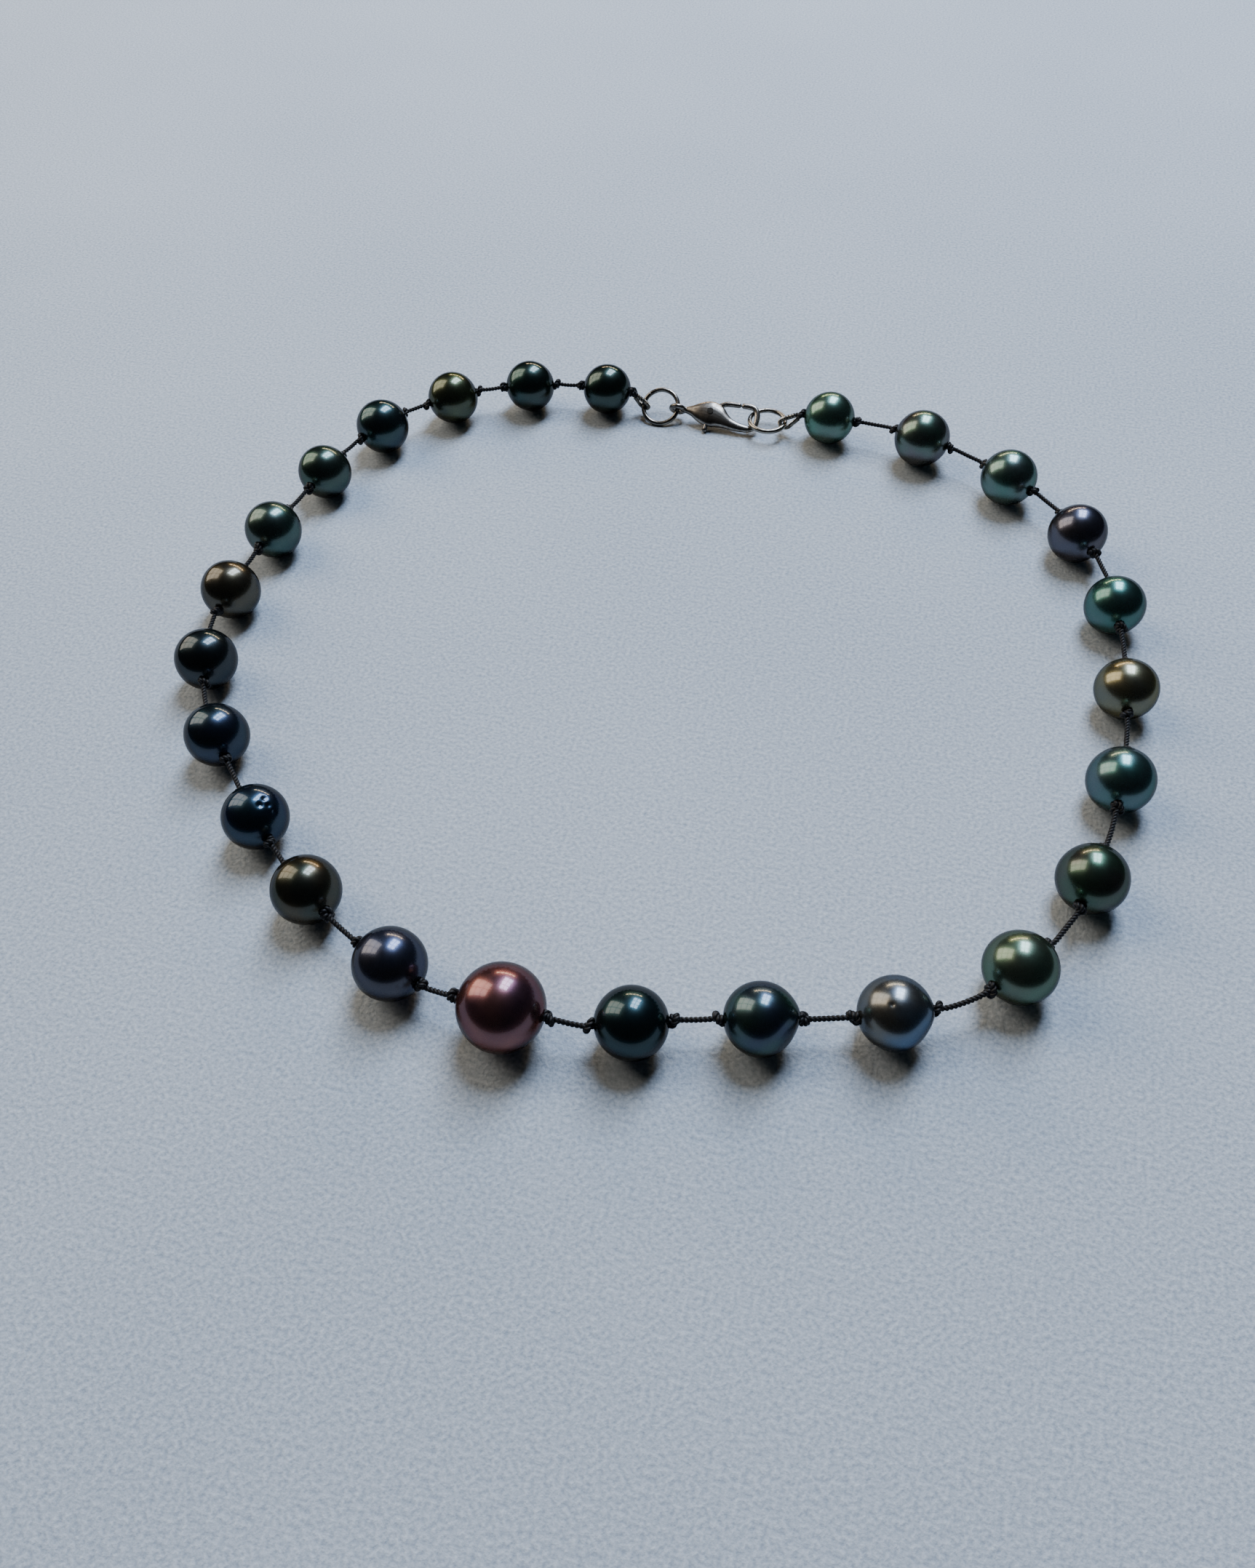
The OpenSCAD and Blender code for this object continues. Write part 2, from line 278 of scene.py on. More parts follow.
def room(look):
    # a dim room round the board, which the pearls need for their dark middles, with a plain pale backdrop
    world = bpy.data.worlds.new("room")
    world.use_nodes = True
    tree = world.node_tree
    given = tree.nodes["Background"]
    given.inputs["Color"].default_value = hexColour(look["given"])
    given.inputs["Strength"].default_value = look["givenStrength"]
    seen = addNode(tree, "ShaderNodeBackground",
                   {"Color": hexColour(look["seen"]), "Strength": look["seenStrength"]})
    path = addNode(tree, "ShaderNodeLightPath")
    both = addNode(tree, "ShaderNodeMixShader", None, {
        0: path.outputs["Is Camera Ray"], 1: given.outputs[0], 2: seen.outputs[0]})
    tree.links.new(both.outputs[0], tree.nodes["World Output"].inputs["Surface"])
    bpy.context.scene.world = world


room(surroundings)
print("camera, floor and light set")


nacreLook = {
    "saturation": 0.88,
    "depth": 0.85,  # how much of the colour's strength the layers keep
    "glow": (0.23, 0.32),  # roughness of the deep layers, which spread a window into a soft glow
    "skinWeight": 0.45,  # the clear top layer, where the panes of a window still show
    "skinRough": 0.06,
    "skinIor": 1.5,
    "patch": 4.5,  # mm across one patch of the second colour
    "growth": 0.9,  # mm
    "growthDepth": 0.03,  # mm
}


def nacre(number, body, overtone, rim, look=nacreLook):
    # sea-pearl nacre, grown and hand buffed: tinted satin lustre under a clear skin, with slow
    # patches of a second colour and the faint waviness of its growth layers
    material, tree, shader = newMaterial("nacrePearl%02d" % number)
    place = addNode(tree, "ShaderNodeTexCoord")
    moved = addNode(tree, "ShaderNodeMapping", {"Location": (number * 0.7, number * 0.3, 0)},
                    {"Vector": place.outputs["Object"]})
    patch = addNode(tree, "ShaderNodeTexNoise",
                    {"Scale": 1 / (look["patch"] * mm), "Detail": 2, "Roughness": 0.4},
                    {"Vector": moved.outputs["Vector"]})
    ramp = addNode(tree, "ShaderNodeValToRGB", None, {"Fac": patch.outputs["Fac"]})
    setRamp(ramp, [(0.32, hexColour(body)), (0.68, hexColour(overtone))])
    growth = addNode(tree, "ShaderNodeTexNoise", {"Scale": 1 / (look["growth"] * mm), "Detail": 3},
                     {"Vector": moved.outputs["Vector"]})
    rough = addNode(tree, "ShaderNodeMapRange", {"To Min": look["glow"][0], "To Max": look["glow"][1]},
                    {"Value": growth.outputs["Fac"]})
    bump = addNode(tree, "ShaderNodeBump", {"Strength": 0.12, "Distance": look["growthDepth"] * mm},
                   {"Height": growth.outputs["Fac"]})
    quiet = addNode(tree, "ShaderNodeHueSaturation",
                    {"Saturation": look["saturation"], "Value": look["depth"]},
                    {"Color": ramp.outputs["Color"]})
    tree.links.new(quiet.outputs["Color"], shader.inputs["Base Color"])
    tree.links.new(rough.outputs["Result"], shader.inputs["Roughness"])
    tree.links.new(bump.outputs["Normal"], shader.inputs["Normal"])
    shader.inputs["Metallic"].default_value = 0.95
    shader.inputs["Specular Tint"].default_value = hexColour(rim)
    shader.inputs["Coat Weight"].default_value = look["skinWeight"]
    shader.inputs["Coat Roughness"].default_value = look["skinRough"]
    shader.inputs["Coat IOR"].default_value = look["skinIor"]
    return material


def dyedSilk():
    # black dyed, twisted and waxed silk: matt in the grooves with a dull thread-long sheen
    material, tree, shader = newMaterial("dyedTwistedSilk")
    place = addNode(tree, "ShaderNodeTexCoord")
    strands = addNode(tree, "ShaderNodeMapping", {"Scale": (1 / (0.5 * mm), 9, 1)},
                      {"Vector": place.outputs["UV"]})
    fibre = addNode(tree, "ShaderNodeTexNoise", {"Scale": 1, "Detail": 3},
                    {"Vector": strands.outputs["Vector"]})
    ramp = addNode(tree, "ShaderNodeValToRGB", None, {"Fac": fibre.outputs["Fac"]})
    setRamp(ramp, [(0.3, hexColour("040405")), (0.75, hexColour("0d0d10"))])
    bump = addNode(tree, "ShaderNodeBump", {"Strength": 0.5, "Distance": 0.02 * mm},
                   {"Height": fibre.outputs["Fac"]})
    tree.links.new(ramp.outputs["Color"], shader.inputs["Base Color"])
    tree.links.new(bump.outputs["Normal"], shader.inputs["Normal"])
    shader.inputs["Roughness"].default_value = 0.55
    shader.inputs["Specular IOR Level"].default_value = 0.3
    return material


def silverMetal(name, bright, dark, roughLow, roughHigh, grain):
    # silver, drawn or cast and tumbled: bright where it is rubbed, tarnished grey in between
    material, tree, shader = newMaterial(name)
    place = addNode(tree, "ShaderNodeTexCoord")
    wear = addNode(tree, "ShaderNodeTexNoise", {"Scale": 1 / grain, "Detail": 5, "Roughness": 0.6},
                   {"Vector": place.outputs["Object"]})
    ramp = addNode(tree, "ShaderNodeValToRGB", None, {"Fac": wear.outputs["Fac"]})
    setRamp(ramp, [(0.35, hexColour(dark)), (0.62, hexColour(bright))])
    rough = addNode(tree, "ShaderNodeMapRange", {"To Min": roughHigh, "To Max": roughLow},
                    {"Value": wear.outputs["Fac"]})
    fine = addNode(tree, "ShaderNodeTexNoise", {"Scale": 1 / (0.12 * mm), "Detail": 2},
                   {"Vector": place.outputs["Object"]})
    bump = addNode(tree, "ShaderNodeBump", {"Strength": 0.12, "Distance": 0.02 * mm},
                   {"Height": fine.outputs["Fac"]})
    tree.links.new(ramp.outputs["Color"], shader.inputs["Base Color"])
    tree.links.new(rough.outputs["Result"], shader.inputs["Roughness"])
    tree.links.new(bump.outputs["Normal"], shader.inputs["Normal"])
    shader.inputs["Metallic"].default_value = 1
    return material


silkMaterial = dyedSilk()
ringSilver = silverMetal("tumbledSilverWire", "8f8a80", "4a4743", 0.16, 0.34, 1.6 * mm)
claspSilver = silverMetal("castOxidisedSilver", "938d84", "45413d", 0.2, 0.36, 2.2 * mm)
bullionWire = silverMetal("silveredBullionWire", "b9b2a3", "6b655b", 0.14, 0.26, 0.8 * mm)
springWire = silverMetal("springTemperedWire", "9a9ba0", "6d6e73", 0.2, 0.3, 0.6 * mm)
print("materials made")


# per pearl: body colour, second colour, colour at the rim
pearlTones = [
    ("35403a", "2b4440", "46524c"), ("36423e", "2a4642", "46544e"), ("444a3c", "4e5a3c", "5c5e4c"),
    ("36444a", "2c4848", "445454"), ("4a544f", "38544a", "58625e"), ("4e5a56", "3d5c56", "5c6662"),
    ("4c4a42", "56503e", "58544a"), ("33393b", "29373d", "3c464c"), ("2a3c44", "2f3a52", "365054"),
    ("26324a", "24404c", "363e54"), ("36423c", "504634", "465246"), ("464650", "3a4460", "4e5060"),
    ("86514c", "62404f", "6e4a48"), ("2a4242", "233a40", "364648"), ("3c5e4e", "38445a", "48465a"),
    ("6e6c64", "4f6a84", "5a646c"), ("626e5c", "527460", "646856"), ("545450", "42604c", "58524e"),
    ("566b70", "43726c", "546a6a"), ("6a6c5e", "7a7450", "686856"), ("4e6e6a", "3a6f66", "526466"),
    ("5a5458", "4c5062", "5c504c"), ("62726f", "4c766a", "5c6864"), ("6c6066", "507060", "685660"),
    ("5e7269", "4c7e6a", "566a60"),
]

# dents by pearl: degrees right of the front, degrees up, width and depth in mm; a negative depth
# stands out
pearlFlaws = {
    10: [(78, 62, 0.42, 0.16), (92, 50, 0.36, 0.14), (108, 60, 0.4, 0.13), (86, 36, 0.3, 0.1)],
    12: [(40, 20, 0.3, 0.06)],
    15: [(62, 10, 3.0, 0.4), (98, 22, 1.6, -0.3), (20, 62, 4.0, -0.1)],
    16: [(-32, 70, 0.28, 0.08), (64, 4, 2.6, 0.25), (88, 26, 1.6, -0.2)],
}

pearlForm = {
    "rings": 96,  # rows of faces from one end of the bore to the other
    "around": 128,
    "inBore": 8,
    "bore": 0.45,  # mm, radius of the drilled hole
    "rim": 0.07,  # mm, rounded edge of the hole
    "uneven": 0.006,  # slow unevenness, as a share of the radius
}
flawedForm = dict(pearlForm, rings=200, around=256)


def pearlShape(centre, bore, radius, seed, form, flaws=()):
    # a drilled pearl turned about its bore, then made as uneven as a grown one is
    rnd = random.Random(seed)
    across = Vector((0, 0, 1))
    third = bore.cross(across)
    hole, rim = form["bore"] * mm, form["rim"] * mm
    start = math.asin((hole + rim) / radius)
    rows = []
    for k in range(form["rings"] + 1):
        t = start + (math.pi - 2 * start) * k / form["rings"]
        rows.append((radius * math.cos(t), radius * math.sin(t)))
    high = rows[0][0]
    edge = [(high - rim * (1 - math.cos(a)), hole + rim * (1 - math.sin(a)))
            for a in (math.pi / 8 * n for n in range(1, 5))]
    steps = form["inBore"]
    inner = [((high - rim) * (1 - 2 * n / steps), hole) for n in range(1, steps)]
    rows = rows + [(-x, y) for x, y in edge] + [(-x, y) for x, y in inner] + edge[::-1]
    rows = np.array(rows)
    around = form["around"]
    angle = np.linspace(0, 2 * math.pi, around, endpoint=False)
    local = np.stack([
        np.broadcast_to(rows[:, 0, None], (len(rows), around)),
        rows[:, 1, None] * np.cos(angle)[None],
        rows[:, 1, None] * np.sin(angle)[None],
    ], -1).reshape(-1, 3)
    basis = np.array([bore, across, third])
    flat = local @ basis
    unit = flat / np.linalg.norm(flat, axis=1, keepdims=True)
    swell = np.zeros(len(unit))
    for order, share in ((2, 1.0), (3, 0.6), (5, 0.25)):
        pole = Vector((rnd.gauss(0, 1), rnd.gauss(0, 1), rnd.gauss(0, 1))).normalized()
        swell += share * form["uneven"] * np.cos(order * np.arccos(np.clip(unit @ np.array(pole), -1, 1)))
    outer = np.linalg.norm(flat, axis=1) > radius * 0.97
    flat[outer] *= (1 + swell[outer] - swell[outer].max() * 0.5)[:, None]
    for turned, lifted, width, depth in flaws:
        a, b = math.radians(turned), math.radians(lifted)
        to = np.array([math.sin(a) * math.cos(b), -math.cos(a) * math.cos(b), math.sin(b)])
        away = np.arccos(np.clip(unit @ to, -1, 1)) * radius / (width * mm)
        flat[outer] -= (unit * (depth * mm * np.exp(-away ** 2))[:, None])[outer]
    faces = [face[::-1] for face in skin(len(rows), around, True)]
    return flat + np.array(centre), faces


pearls = []
for number, (body, overtone, rim) in enumerate(pearlTones, 1):
    spin = joints["pearl_spin_%02d" % number]
    low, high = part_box("pearl_%02d" % number)
    pearls.append({"centre": Vector(spin["pos_m"]), "bore": Vector(spin["axis"]).normalized(),
                   "radius": (high.z - low.z) / 2})
    p = pearls[-1]
    flaws = pearlFlaws.get(number, ())
    verts, faces = pearlShape(p["centre"], p["bore"], p["radius"], number,
                              flawedForm if flaws else pearlForm, flaws)
    obj = makeObject("pearl%02d" % number, verts, faces, nacre(number, body, overtone, rim))
    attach(obj, "bead_%02d" % number)
    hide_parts("pearl_%02d" % number)
print("pearls made:", len(pearls))


silkCord = {
    "across": 0.72,  # mm over the plies, which bite into each other: about 0.65 round the middle
    "inKnot": 0.84,  # mm, drawn tight
    "lay": 1.06,  # mm for one full turn of the plies
    "plies": 2,
    "bite": 0.8,  # how far a ply's middle stands off the cord's, in its own radii
    "step": 0.08,  # mm between sections
    "ease": 0.3,  # mm over which it narrows into a knot
    "stiff": 0.35,  # how far a knot carries the bore's direction into the silk, as a share of the gap
    "sag": 0.08,  # mm, between two knots
    "knotReach": 0.42,  # mm from a pearl's skin to the middle of its knot
    "knotHalf": 0.72,  # mm, where the knot has become straight cord again
    "knotCord": 0.5,  # mm between turns in the knot, which bed into each other
    "knotPress": 0.74,  # how far pushing it home against the pearl shortens it
    "sway": 0.06,  # mm, the most that a gap's silk strays to either side
    "inBore": 12,  # points along half a bore
    "slack": 0.05,  # mm between the last of them and the knot
}


def tightKnot(cord, count=60, rounds=500):
    # an overhand knot drawn up by its two ends until its own turns stop it, along X, in mm: each round
    # pulls the ends, keeps the pieces their length and pushes turns apart that are closer than the cord
    t = np.linspace(-2.15, 2.15, count)
    p = np.stack([t ** 3 - 3 * t, t ** 4 - 4 * t ** 2, (t ** 5 - 10 * t) * 0.22], 1)
    first, last = p[0].copy(), p[-1].copy()
    x = (last - first) / np.linalg.norm(last - first)
    z = np.cross(x, [0, 1.0, 0])
    z /= np.linalg.norm(z)
    p = (p - (first + last) / 2) @ np.stack([x, np.cross(z, x), z], 1)
    p -= [0, p[0, 1], p[0, 2]]
    piece = cord * 0.3
    p *= piece / np.linalg.norm(np.diff(p, axis=0), axis=1).mean()
    i, j = np.triu_indices(count, 5)
    for _ in range(rounds):
        p[0, 0] -= 0.03 * cord
        p[-1, 0] += 0.03 * cord
        p[:4, 1:] *= 0.5
        p[-4:, 1:] *= 0.5
        p[4:-4, 1:] -= p[12:-12, 1:].mean(0) * 0.08
        for _ in range(6):
            for odd in (0, 1):
                d = p[1:] - p[:-1]
                move = d * (1 - piece / np.linalg.norm(d, axis=1, keepdims=True)) * 0.5
                move[odd::2] = 0
                p[:-1] += move
                p[1:] -= move
            d = p[j] - p[i]
            gap = np.linalg.norm(d, axis=1)
            near = gap < cord
            push = d[near] * ((cord - gap[near]) / gap[near] * 0.35)[:, None]
            np.add.at(p, i[near], -push)
            np.add.at(p, j[near], push)
            p[1:-1] += ((p[:-2] + p[2:]) / 2 - p[1:-1]) * 0.08
    return p


knotPath = tightKnot(silkCord["knotCord"])
knotPath[:, 0] *= silkCord["knotPress"]
knotPath = knotPath[np.abs(knotPath[:, 0]) < silkCord["knotHalf"]]


def pliedCord(path, cord, tightSpans, turn=0.0):
    # the plies of a twisted cord, each a tube wound round the path; path in mm
    path = resample(path, cord["step"])
    at = lengths(path)
    across = np.full(len(path), cord["across"])
    for low, high in tightSpans:
        inside = np.clip(np.minimum(at - low, high - at) / cord["ease"], 0, 1)
        across -= (cord["across"] - cord["inKnot"]) * inside
    ply = across / (2 * (1 + cord["bite"]))
    _, a, b = sideways(path)
    parts = []
    for k in range(cord["plies"]):
        angle = 2 * math.pi * (at / cord["lay"] + k / cord["plies"]) + turn
        off = ply * cord["bite"]
        wound = path + (np.cos(angle) * off)[:, None] * a + (np.sin(angle) * off)[:, None] * b
        parts.append(tube(wound * mm, ply * mm, 10))
    return joined(parts)


def knotAt(centre, along, turn):
    # the knot's path in place: along is the way the cord runs on
    side = np.cross([0.0, 0.0, 1.0], along)
    side /= np.linalg.norm(side)
    up = np.cross(along, side)
    c, s = math.cos(turn), math.sin(turn)
    return (centre + knotPath[:, :1] * along + knotPath[:, 1:2] * (c * side + s * up)
            + knotPath[:, 2:] * (c * up - s * side))


def knotPlace(p, side):
    # the middle of the knot on one side of a pearl, in mm
    out = p["radius"] / mm + silkCord["knotReach"]
    return np.array(p["centre"]) / mm + np.array(p["bore"]) * side * out


def boreLine(p, side):
    # points in mm from the pearl's middle out along its bore, up to its knot
    near = p["radius"] / mm + silkCord["knotReach"] - silkCord["knotHalf"] - silkCord["slack"]
    centre, along = np.array(p["centre"]) / mm, np.array(p["bore"]) * side
    return np.array([centre + along * d for d in np.linspace(0, near, silkCord["inBore"])])


# the spin axes all run the same way round the strand, from the first pearl to the last
rnd = random.Random(7)
for number in range(1, len(pearls)):
    here, there = pearls[number - 1], pearls[number]
    wayA, wayB = np.array(here["bore"]), np.array(there["bore"])
    knotA, knotB = knotPlace(here, 1), knotPlace(there, -1)
    firstPart = knotAt(knotA, wayA, rnd.uniform(0, 6.28))
    lastPart = knotAt(knotB, wayB, rnd.uniform(0, 6.28))
    start = knotA + wayA * silkCord["knotHalf"]
    end = knotB - wayB * silkCord["knotHalf"]
    t = np.linspace(0, 1, 40)[1:-1, None]
    pull = np.linalg.norm(end - start) * silkCord["stiff"]
    middle = ((2 * t ** 3 - 3 * t ** 2 + 1) * start + (t ** 3 - 2 * t ** 2 + t) * pull * wayA
              + (3 * t ** 2 - 2 * t ** 3) * end + (t ** 3 - t ** 2) * pull * wayB)
    most = silkCord["sway"]
    sway = np.array([rnd.uniform(-most, most), rnd.uniform(-most, most), -silkCord["sag"]])
    middle = middle + (16 * t ** 2 * (1 - t) ** 2) * sway
    path = np.concatenate([boreLine(here, 1), firstPart, middle, lastPart, boreLine(there, -1)[::-1]])
    at = lengths(path)
    knotStart, knotStop = silkCord["inBore"], silkCord["inBore"] + len(firstPart)
    spanA = (at[knotStart], at[knotStop - 1])
    spanB = (at[knotStop + len(middle)], at[-silkCord["inBore"] - 1])
    verts, faces, uvs = pliedCord(path, silkCord, [spanA, spanB], rnd.uniform(0, 6.28))
    cord = makeObject("silk%02d" % number, verts, faces, silkMaterial, uvs)
    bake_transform(cord)
    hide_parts("silk_%02d" % number)
print("silk made:", len(pearls) - 1, "gaps")


bullion = {
    "across": 0.8,  # mm, outside
    "wire": 0.13,  # mm, the fine wire itself
    "pitch": 0.15,
    "perTurn": 14,  # sections of wire in one turn
    "lineStep": 0.02,
    "lineRounds": 30,
    "bend": 0.9,  # mm, mean radius round the ring's wire
    "legGap": 0.4,  # mm, half the gap between the legs where they leave the knot
    "legStart": 1.0,  # mm from the knot
    "silk": 0.58,  # mm, the cord inside it
    "silkStep": 0.06,
    "silkRounds": 12,
    "silkTail": 0.2,  # mm that the returning silk runs back into the knot
    "knotTurn": 1.0,
    "tight": 2.2,  # mm past the knot where the silk is still drawn thin
}


def loopLine(knot, hold, across, form):
    # from the knot, square round the ring's wire at hold, and back, in mm
    reach = hold - knot
    far = np.linalg.norm(reach)
    u = reach / far
    v = np.cross(across, u)
    v /= np.linalg.norm(v)
    foot = np.array([-far + form["legStart"], form["legGap"]])
    stop = math.atan2(foot[1], foot[0]) - math.acos(form["bend"] / np.linalg.norm(foot))
    arc = [(form["bend"] * math.cos(a), form["bend"] * math.sin(a)) for a in np.linspace(stop, -stop, 40)]
    flat = np.array([foot] + arc + [foot * [1, -1]])
    return hold + flat[:, :1] * u + flat[:, 1:] * v


def bullionCoil(line, form):
    # one fine wire wound edge to edge round the silk
    line = soften(resample(line, form["lineStep"]), form["lineRounds"])
    at = lengths(line)
    _, a, b = sideways(line)
    wanted = np.linspace(0, at[-1], int(at[-1] / form["pitch"] * form["perTurn"]))
    here, sideA, sideB = (np.stack([np.interp(wanted, at, rows[:, k]) for k in range(3)], 1)
                          for rows in (line, a, b))
    angle = 2 * math.pi * wanted / form["pitch"]
    out = (form["across"] - form["wire"]) / 2
    wound = here + out * (np.cos(angle)[:, None] * sideA + np.sin(angle)[:, None] * sideB)
    return tube(wound * mm, form["wire"] / 2 * mm, 6)


low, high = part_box("jump_ring_right")
wireRadius = (high.z - low.z) / 2
meanRadius = (high.x - low.x) / 2 - wireRadius
rightRing = (low + high) / 2
hinge = -Vector(joints["left_ring_lift"]["axis"]).normalized()
endSilk = dict(silkCord, across=bullion["silk"])

# side of the pearl, its number, where the loop holds the ring's wire and which way that wire runs
ends = {
    "Left": (-1, 1, Vector(joints["left_ring_lift"]["pos_m"]), -hinge),
    "Right": (1, len(pearls), rightRing + Vector((meanRadius, 0, 0)), Vector((0, 1, 0))),
}
for name, (side, number, hold, ringWay) in ends.items():
    p, body = pearls[number - 1], "strand_%02d" % number
    radius = p["radius"] / mm
    knot, hold = knotPlace(p, side), np.array(hold) / mm
    loop = loopLine(knot, hold, np.array(ringWay), bullion)
    slope = (hold - knot) / np.linalg.norm(hold - knot)
    firstPart = knotAt(knot, np.array(p["bore"]) * side, bullion["knotTurn"])
    path = np.concatenate([boreLine(p, side), firstPart[:-4], loop, [knot + slope * bullion["silkTail"]]])
    path = resample(path, bullion["silkStep"])
    pastKnot = radius + lengths(firstPart)[-1]
    free = lengths(path) >= pastKnot
    path[free] = soften(path[free], bullion["silkRounds"])
    verts, faces, uvs = pliedCord(path, endSilk, [(radius, pastKnot + bullion["tight"])])
    cord = makeObject("silkEnd" + name, verts, faces, silkMaterial, uvs)
    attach(cord, body)
    if side > 0:
        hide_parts("silk_%02d" % number)
    coil = makeObject("bullion" + name, *bullionCoil(loop, bullion)[:2], bullionWire)
    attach(coil, body)
    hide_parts("french_wire_" + name.lower())

jumpRing = {
    "cut": 0.06,  # mm of saw gap where the wire closes
    "sides": 24,
    "steps": 160,
}


def wireRing(centre, first, second, meanRadius, wireRadius, form, cutAt):
    # round wire bent to a ring, its two cut ends nearly touching
    gap = form["cut"] * mm / meanRadius
    angle = np.linspace(cutAt + gap / 2, cutAt + 2 * math.pi - gap / 2, form["steps"])
    path = centre + meanRadius * (np.cos(angle)[:, None] * first + np.sin(angle)[:, None] * second)
    return tube(path, wireRadius, form["sides"])


# the left ring is held by its loop and by the clasp's tail, at opposite ends of one diameter; each ring's
# middle, the two directions it lies in, and where round it the cut is, in radians
holdLeft, holdTail = (Vector(joints[n]["pos_m"]) for n in ("left_ring_lift", "clasp_lift"))
ringPlaces = {
    "Left": ((holdLeft + holdTail) / 2, Vector((1, 0, 0)), hinge, 2.4),
    "Right": (rightRing, Vector((1, 0, 0)), Vector((0, 1, 0)), 1.9),
}
for name, (centre, first, second, cutAt) in ringPlaces.items():
    verts, faces, uvs = wireRing(np.array(centre), np.array(first), np.array(second), meanRadius,
                                 wireRadius, jumpRing, cutAt)
    ring = makeObject("jumpRing" + name, verts, faces, ringSilver)
    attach(ring, name.lower() + "_ring")
    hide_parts("jump_ring_" + name.lower())
print("ends made")


# rows run along the metal: u towards the nose, w across, half width, half thickness, all in mm
claspForm = {
    "body": [
        (0.9, 0, 0.5, 0.46), (1.7, 0, 0.6, 0.52), (2.6, 0, 0.95, 0.7), (3.7, -0.05, 1.6, 0.9),
        (5.0, -0.1, 2.15, 1.02), (6.2, -0.2, 2.3, 1.05), (7.4, -0.55, 2.0, 1.0), (8.5, -1.05, 1.42, 0.9),
        (9.6, -1.5, 1.02, 0.76), (10.8, -1.82, 0.82, 0.64), (12.0, -2.0, 0.68, 0.54),
        (13.0, -2.03, 0.56, 0.48), (13.75, -1.8, 0.5, 0.46), (14.2, -1.15, 0.5, 0.46),
        (14.32, -0.3, 0.5, 0.46), (14.28, 0.5, 0.5, 0.46), (14.05, 1.3, 0.5, 0.47),
        (13.5, 1.88, 0.5, 0.48), (12.7, 2.08, 0.5, 0.48), (11.62, 2.1, 0.48, 0.46),
    ],
    "gate": [(6.0, 0.0, 0.6, 0.42), (6.8, 0.8, 0.55, 0.42), (7.5, 1.5, 0.5, 0.42), (8.3, 1.97, 0.46, 0.43),
             (9.2, 2.1, 0.46, 0.45), (10.72, 2.1, 0.46, 0.45)],
    "tab": [(6.0, 0.0, 0.6, 0.4), (5.8, -1.3, 0.5, 0.4), (5.58, -2.4, 0.42, 0.4), (5.5, -3.1, 0.5, 0.46)],
    "eye": (1.15, 0.44),  # middle radius and half thickness
    "squareness": 2.3,  # 2 is a true oval section
    "grain": 0.075,  # mm, the cells the cast shape is fused in
    "fettle": 7,  # rounds of smoothing, which leaves the fillets a casting has
}
claspTail = Vector(joints["clasp_lift"]["pos_m"])
claspU = Vector((1, 0, 0))
claspN = -Vector(joints["lever_press"]["axis"]).normalized()
claspW = claspN.cross(claspU)


def through(points, steps):
    # a smooth line through rows of numbers
    points = np.asarray(points, float)
    padded = np.concatenate([[2 * points[0] - points[1]], points, [2 * points[-1] - points[-2]]])
    rows = []
    for k in range(len(points) - 1):
        p0, p1, p2, p3 = padded[k:k + 4]
        for t in np.linspace(0, 1, steps, endpoint=False):
            rows.append(0.5 * (2 * p1 + (p2 - p0) * t + (2 * p0 - 5 * p1 + 4 * p2 - p3) * t * t
                               + (3 * p1 - p0 - 3 * p2 + p3) * t ** 3))
    return np.array(rows + [points[-1]])


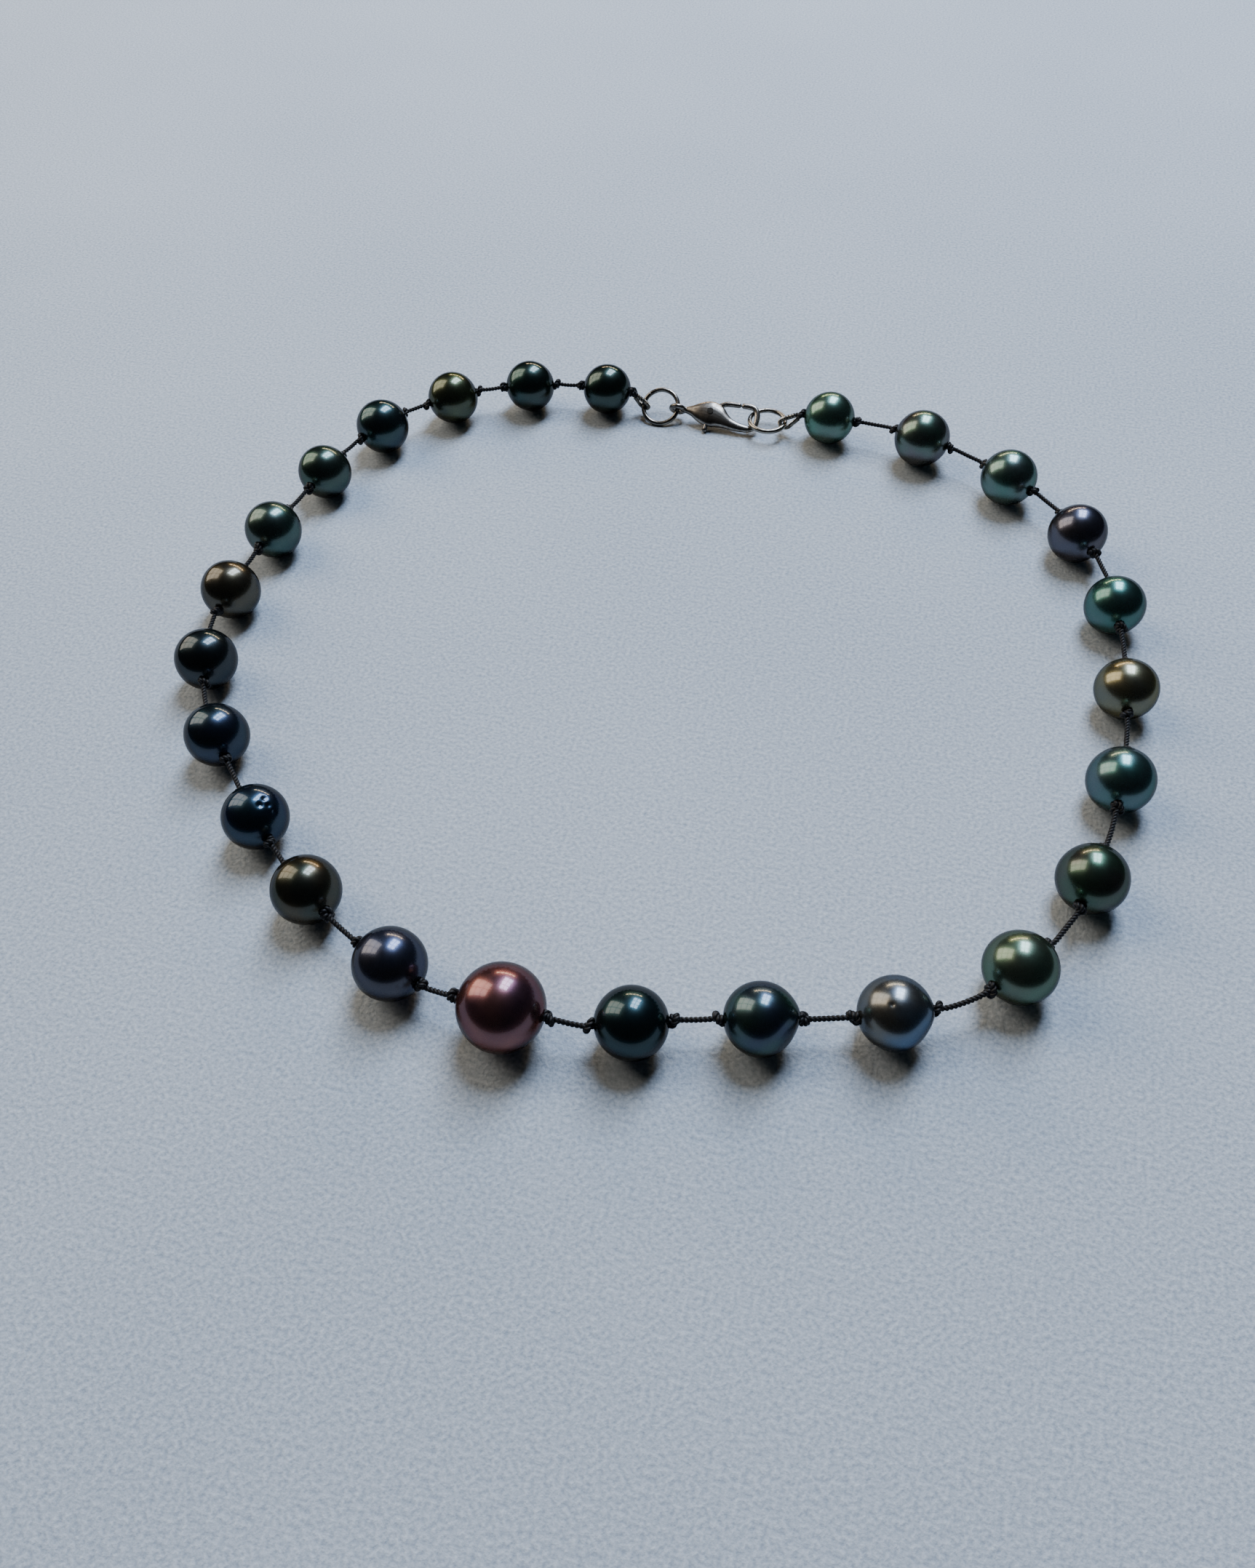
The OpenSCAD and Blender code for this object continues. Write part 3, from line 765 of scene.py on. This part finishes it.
def castBar(rows, squareness, sides=28):
    # a bar of changing oval section in the clasp's own plane, round at both ends
    line = through(rows, 8)
    flat, halfW, halfT = line[:, :2], line[:, 2], line[:, 3]
    along = np.gradient(flat, axis=0)
    along /= np.linalg.norm(along, axis=1, keepdims=True)
    taper = np.array([0.97, 0.88, 0.73, 0.5, 0.22, 0.05])  # how the rounded ends close
    out = np.sqrt(1 - taper ** 2)
    flat = np.concatenate([flat[0] - along[0] * halfW[0] * out[::-1, None], flat,
                           flat[-1] + along[-1] * halfW[-1] * out[:, None]])
    halfW = np.concatenate([halfW[0] * taper[::-1], halfW, halfW[-1] * taper])
    halfT = np.concatenate([halfT[0] * taper[::-1], halfT, halfT[-1] * taper])
    along = np.concatenate([np.repeat(along[:1], len(out), 0), along, np.repeat(along[-1:], len(out), 0)])
    side = np.stack([-along[:, 1], along[:, 0]], 1)
    angle = np.linspace(0, 2 * math.pi, sides, endpoint=False)
    c, s = np.cos(angle), np.sin(angle)
    c, s = (np.sign(x) * np.abs(x) ** (2 / squareness) for x in (c, s))
    uw = flat[:, None] + side[:, None] * (halfW[:, None] * c)[..., None]
    n = halfT[:, None] * s
    verts = (np.array(claspTail) + mm * (uw[..., :1] * np.array(claspU) + uw[..., 1:] * np.array(claspW)
                                         + n[..., None] * np.array(claspN)))
    return verts.reshape(-1, 3), skin(len(flat), sides), np.zeros((len(flat) * sides, 2))


def fuse(obj, form):
    fused = obj.modifiers.new("fuse", "REMESH")
    fused.mode, fused.voxel_size, fused.use_smooth_shade = "VOXEL", form["grain"] * mm, True
    smooth = obj.modifiers.new("fettle", "SMOOTH")
    smooth.factor, smooth.iterations = 0.5, form["fettle"]


eyeRadius, eyeHalf = claspForm["eye"]
turn = np.linspace(0, 2 * math.pi, 64, endpoint=False)[:, None]
eyeLine = np.array(claspTail) + eyeRadius * mm * (np.cos(turn) * np.array(claspU)
                                                  + np.sin(turn) * np.array(claspN))
body = joined([castBar(claspForm["body"], claspForm["squareness"]), tube(eyeLine, eyeHalf * mm, 20, True)])
claspBody = makeObject("claspBody", *body[:2], claspSilver)
fuse(claspBody, claspForm)
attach(claspBody, "clasp")
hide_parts("clasp_body")

lever = joined([castBar(claspForm["gate"], 2), castBar(claspForm["tab"], 2)])
claspLever = makeObject("claspLever", *lever[:2], claspSilver)
fuse(claspLever, claspForm)
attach(claspLever, "lever")
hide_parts("clasp_lever")

for node, material in (("clasp_pin", ringSilver), ("clasp_spring", springWire)):
    obj = frame["nodes"][node]
    obj.data.materials.clear()
    obj.data.materials.append(material)
print("clasp finished")
